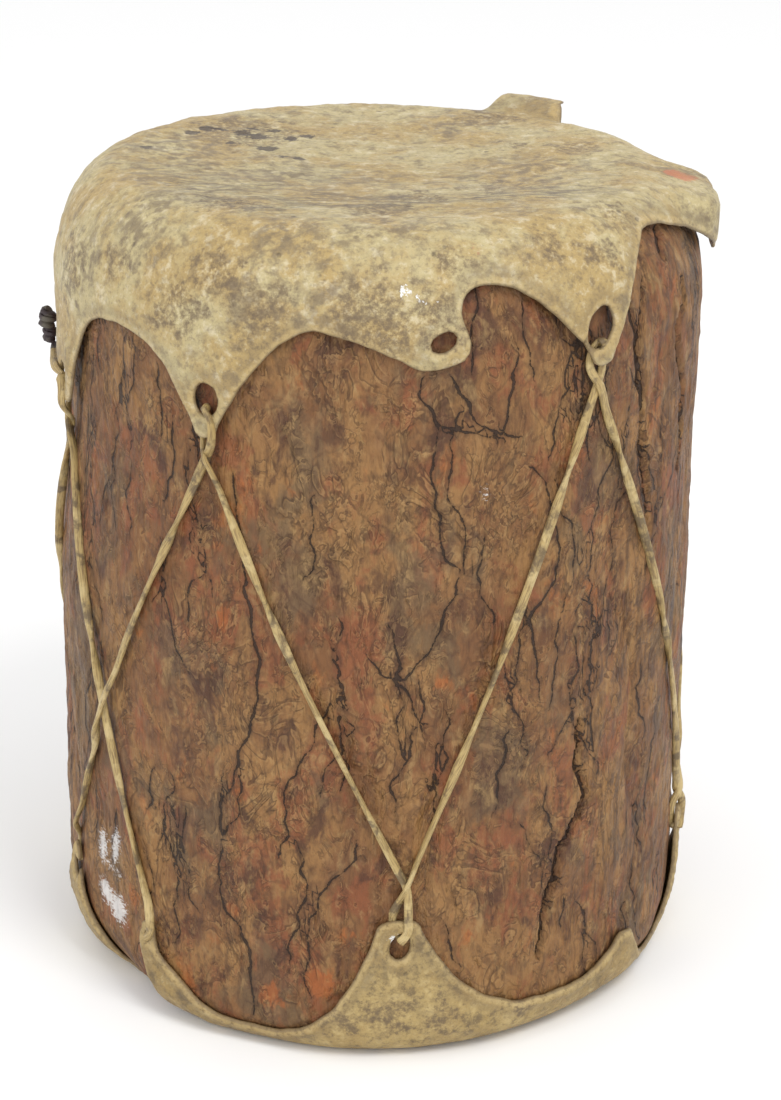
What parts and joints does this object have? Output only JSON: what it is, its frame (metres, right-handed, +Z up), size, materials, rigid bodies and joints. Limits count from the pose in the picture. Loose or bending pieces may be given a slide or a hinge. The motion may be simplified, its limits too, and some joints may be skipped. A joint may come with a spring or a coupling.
{
  "type": "ceremonial ritual drum",
  "caption": "Upright hollow log drum with its bark on, rawhide skins over both ends, and a rawhide thong laced in zigzags between the tabs of the skins.",
  "frame": {"origin": "middle of the flat underside that the drum stands on", "axes": "+Z up along the log, -Y towards the front, +X to the right seen from the front"},
  "size_m": [0.3276, 0.3228, 0.3921],
  "materials": {
    "bark": "rough furrowed bark",
    "top_rawhide": "dry mottled rawhide",
    "bottom_rawhide": "dry yellowed rawhide",
    "thong_rawhide": "twisted dry rawhide"
  },
  "bodies": {
    "root": {"log_shell": "bark", "top_skin": "top_rawhide", "bottom_skin": "bottom_rawhide", "thong": "thong_rawhide"}
  },
  "joints": []
}
